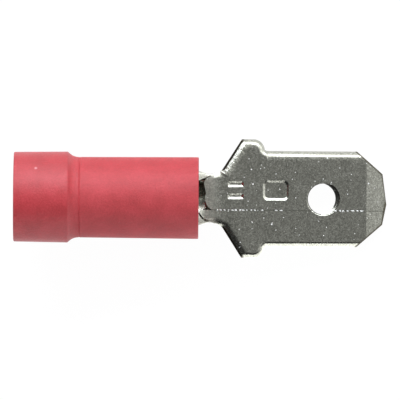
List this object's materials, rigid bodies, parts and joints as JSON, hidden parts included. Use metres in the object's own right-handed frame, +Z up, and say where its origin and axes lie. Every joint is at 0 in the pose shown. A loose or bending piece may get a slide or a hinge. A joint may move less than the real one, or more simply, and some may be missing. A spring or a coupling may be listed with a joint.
{
  "type": "male spade terminal",
  "caption": "Insulated male spade terminal: a folded, tin-plated brass tab with a locking hole, on a crimp barrel inside a red moulded sleeve with a flared wire entry.",
  "frame": {"origin": "on the resting surface, under the middle of the part's box", "axes": "+X along the part from the wire entry to the tab's tip, +Y across the tab, +Z up. The part's long axis dips towards the tab by 11.35 degrees, because it lies on the sleeve's front rim and the tab's bevelled tip."},
  "size_m": [0.025, 0.0078, 0.008],
  "materials": {
    "red_vinyl": "satin",
    "tinned_brass": "satin"
  },
  "bodies": {
    "root": {"insulation_sleeve": "red_vinyl", "terminal": "tinned_brass"}
  },
  "joints": []
}
